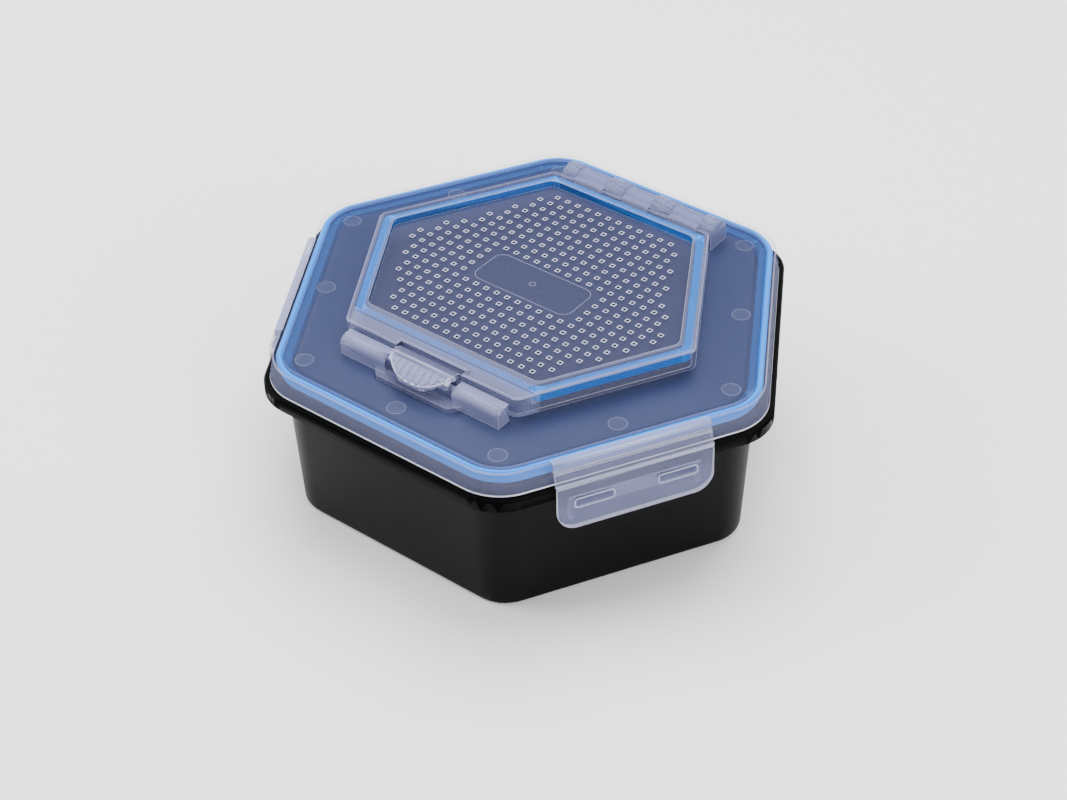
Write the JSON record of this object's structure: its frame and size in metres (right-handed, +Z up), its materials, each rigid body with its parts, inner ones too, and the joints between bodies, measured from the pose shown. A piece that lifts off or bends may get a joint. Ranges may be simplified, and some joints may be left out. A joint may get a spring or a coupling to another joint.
{
  "type": "fishing bait box",
  "caption": "Hexagonal bait box: dark flanged tub, translucent sealed lid with side clips, and a hinged ventilated hatch with a thumb latch.",
  "frame": {"origin": "centre of the tub's flat underside", "axes": "+Z up out of the tub, +Y towards the hatch hinge at the back, -Y towards the thumb latch at the front, +X to the right"},
  "size_m": [0.1684, 0.15, 0.0629],
  "materials": {
    "black_polypropylene": "moulded satin",
    "clear_polypropylene": "moulded translucent, slightly milky",
    "blue_silicone": "smooth soft seal"
  },
  "bodies": {
    "tub": {"tub": "black_polypropylene"},
    "lid": {"main_lid": "clear_polypropylene", "main_seal": "blue_silicone"},
    "hatch": {"vent_hatch": "clear_polypropylene", "hatch_seal": "blue_silicone"},
    "latch": {"thumb_latch": "clear_polypropylene"},
    "link_right": {"clip_link_right": "clear_polypropylene"},
    "link_left": {"clip_link_left": "clear_polypropylene"},
    "flap_right": {"clip_flap_right": "clear_polypropylene"},
    "flap_left": {"clip_flap_left": "clear_polypropylene"}
  },
  "joints": [
    {"name": "lid_lift", "type": "slide", "parent": "tub", "child": "lid", "axis": [0, 0, 1], "range_m": [0, 0.0225]},
    {"name": "hatch_hinge", "type": "hinge", "parent": "lid", "child": "hatch", "pos_m": [0, 0.0579, 0.0586], "axis": [-1, 0, 0], "range_deg": [0, 110]},
    {"name": "latch_flex", "type": "hinge", "parent": "hatch", "child": "latch", "pos_m": [0, -0.0508, 0.0622], "axis": [-1, 0, 0], "range_deg": [0, 15]},
    {"name": "link_hinge_right", "type": "hinge", "parent": "lid", "child": "link_right", "pos_m": [0.06373, -0.03679, 0.0524], "axis": [-0.5, -0.866, 0], "range_deg": [0, 90]},
    {"name": "flap_hinge_right", "type": "hinge", "parent": "link_right", "child": "flap_right", "pos_m": [0.06538, -0.03775, 0.0484], "axis": [-0.5, -0.866, 0], "range_deg": [0, 90]},
    {"name": "link_hinge_left", "type": "hinge", "parent": "lid", "child": "link_left", "pos_m": [-0.06373, -0.03679, 0.0524], "axis": [-0.5, 0.866, 0], "range_deg": [0, 90]},
    {"name": "flap_hinge_left", "type": "hinge", "parent": "link_left", "child": "flap_left", "pos_m": [-0.06538, -0.03775, 0.0484], "axis": [-0.5, 0.866, 0], "range_deg": [0, 90]}
  ],
  "couplings": [
    {"joint": "link_hinge_right", "follows": "lid_lift", "rad_per_m": 69.8},
    {"joint": "link_hinge_left", "follows": "lid_lift", "rad_per_m": 69.8}
  ]
}
